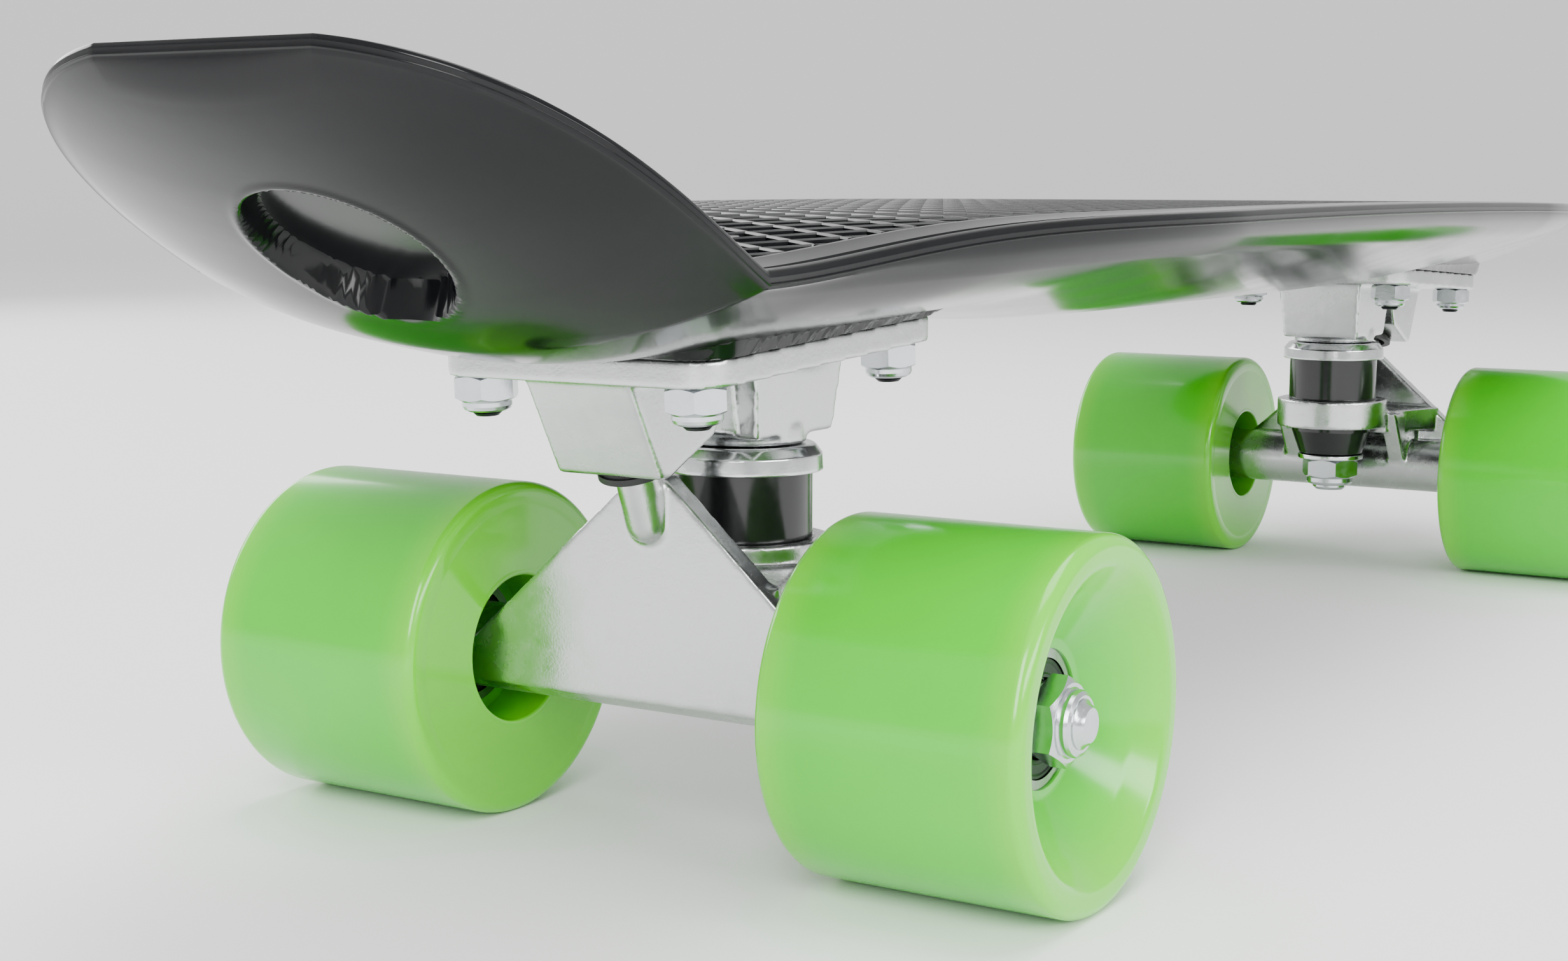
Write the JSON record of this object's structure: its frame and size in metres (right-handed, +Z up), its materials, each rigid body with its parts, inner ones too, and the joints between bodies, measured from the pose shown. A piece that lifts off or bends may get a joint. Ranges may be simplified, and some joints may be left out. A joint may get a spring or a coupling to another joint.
{
  "type": "skateboard",
  "caption": "Small plastic cruiser skateboard: black deck with a kicked tail, cast trucks that steer on bushings, and lime green wheels on ball bearings.",
  "frame": {"origin": "on the ground, below the middle of the board's length and width", "axes": "+X towards the nose, +Y to the rider's left, +Z up"},
  "size_m": [0.5584, 0.1574, 0.1295],
  "materials": {
    "deck_plastic": "gloss moulded polypropylene, black, ribbed on top",
    "wheel_urethane": "glossy cast lime green urethane, slightly translucent",
    "bushing_urethane": "gloss black urethane",
    "black_rubber": "satin black rubber",
    "cast_aluminium": "bright tumbled die casting",
    "zinc_steel": "bright zinc plated",
    "polished_steel": "bright pressed sheet",
    "bearing_steel": "ground and polished",
    "black_steel": "black oxide, satin",
    "brass_cage": "stamped, satin",
    "nylon": "natural nylon, satin"
  },
  "bodies": {
    "board": {"deck": "deck_plastic", "deck_bolts": "black_steel", "deck_bolt_nuts": "zinc_steel", "deck_bolt_nut_inserts": "nylon", "rear_baseplate": "cast_aluminium", "rear_pivot_cup": "black_rubber", "rear_kingpin": "zinc_steel", "rear_cup_washer": "polished_steel", "rear_barrel_bushing": "bushing_urethane", "rear_cone_bushing": "bushing_urethane", "rear_road_washer": "polished_steel", "rear_kingpin_nut": "zinc_steel", "front_baseplate": "cast_aluminium", "front_pivot_cup": "black_rubber", "front_kingpin": "zinc_steel", "front_cup_washer": "polished_steel", "front_barrel_bushing": "bushing_urethane", "front_cone_bushing": "bushing_urethane", "front_road_washer": "polished_steel", "front_kingpin_nut": "zinc_steel"},
    "rear_truck": {"rear_hanger": "cast_aluminium", "rear_axle": "zinc_steel", "rear_axle_washers": "zinc_steel", "rear_bearing_inner_rings": "bearing_steel", "rear_bearing_spacers": "cast_aluminium", "rear_axle_nuts": "zinc_steel", "rear_axle_nut_inserts": "nylon"},
    "rear_left_wheel": {"rear_left_tyre": "wheel_urethane", "rear_left_bearing_outer_rings": "bearing_steel", "rear_left_bearing_shields": "bearing_steel"},
    "rear_left_ball_set": {"rear_left_bearing_balls": "bearing_steel", "rear_left_bearing_cages": "brass_cage"},
    "rear_right_wheel": {"rear_right_tyre": "wheel_urethane", "rear_right_bearing_outer_rings": "bearing_steel", "rear_right_bearing_shields": "bearing_steel"},
    "rear_right_ball_set": {"rear_right_bearing_balls": "bearing_steel", "rear_right_bearing_cages": "brass_cage"},
    "front_truck": {"front_hanger": "cast_aluminium", "front_axle": "zinc_steel", "front_axle_washers": "zinc_steel", "front_bearing_inner_rings": "bearing_steel", "front_bearing_spacers": "cast_aluminium", "front_axle_nuts": "zinc_steel", "front_axle_nut_inserts": "nylon"},
    "front_left_wheel": {"front_left_tyre": "wheel_urethane", "front_left_bearing_outer_rings": "bearing_steel", "front_left_bearing_shields": "bearing_steel"},
    "front_left_ball_set": {"front_left_bearing_balls": "bearing_steel", "front_left_bearing_cages": "brass_cage"},
    "front_right_wheel": {"front_right_tyre": "wheel_urethane", "front_right_bearing_outer_rings": "bearing_steel", "front_right_bearing_shields": "bearing_steel"},
    "front_right_ball_set": {"front_right_bearing_balls": "bearing_steel", "front_right_bearing_cages": "brass_cage"}
  },
  "joints": [
    {"name": "rear_steer", "type": "hinge", "parent": "board", "child": "rear_truck", "pos_m": [-0.15365, 0, 0.046], "axis": [-0.8248, 0, 0.5654], "range_deg": [-15, 15], "stiffness_Nm_per_rad": 25, "deforming": ["rear_barrel_bushing", "rear_cone_bushing"]},
    {"name": "rear_left_wheel_spin", "type": "hinge", "parent": "rear_truck", "child": "rear_left_wheel", "pos_m": [-0.174, 0, 0.0295], "axis": [0, 1, 0], "continuous": true},
    {"name": "rear_left_ball_roll", "type": "hinge", "parent": "rear_truck", "child": "rear_left_ball_set", "pos_m": [-0.174, 0, 0.0295], "axis": [0, 1, 0], "continuous": true},
    {"name": "rear_right_wheel_spin", "type": "hinge", "parent": "rear_truck", "child": "rear_right_wheel", "pos_m": [-0.174, 0, 0.0295], "axis": [0, 1, 0], "continuous": true},
    {"name": "rear_right_ball_roll", "type": "hinge", "parent": "rear_truck", "child": "rear_right_ball_set", "pos_m": [-0.174, 0, 0.0295], "axis": [0, 1, 0], "continuous": true},
    {"name": "front_steer", "type": "hinge", "parent": "board", "child": "front_truck", "pos_m": [0.16115, 0, 0.046], "axis": [0.8248, 0, 0.5654], "range_deg": [-15, 15], "stiffness_Nm_per_rad": 25, "deforming": ["front_barrel_bushing", "front_cone_bushing"]},
    {"name": "front_left_wheel_spin", "type": "hinge", "parent": "front_truck", "child": "front_left_wheel", "pos_m": [0.1815, 0, 0.0295], "axis": [0, 1, 0], "continuous": true},
    {"name": "front_left_ball_roll", "type": "hinge", "parent": "front_truck", "child": "front_left_ball_set", "pos_m": [0.1815, 0, 0.0295], "axis": [0, 1, 0], "continuous": true},
    {"name": "front_right_wheel_spin", "type": "hinge", "parent": "front_truck", "child": "front_right_wheel", "pos_m": [0.1815, 0, 0.0295], "axis": [0, 1, 0], "continuous": true},
    {"name": "front_right_ball_roll", "type": "hinge", "parent": "front_truck", "child": "front_right_ball_set", "pos_m": [0.1815, 0, 0.0295], "axis": [0, 1, 0], "continuous": true}
  ],
  "couplings": [
    {"joint": "rear_left_ball_roll", "follows": "rear_left_wheel_spin", "ratio": 0.6277},
    {"joint": "rear_right_ball_roll", "follows": "rear_right_wheel_spin", "ratio": 0.6277},
    {"joint": "front_left_ball_roll", "follows": "front_left_wheel_spin", "ratio": 0.6277},
    {"joint": "front_right_ball_roll", "follows": "front_right_wheel_spin", "ratio": 0.6277}
  ]
}
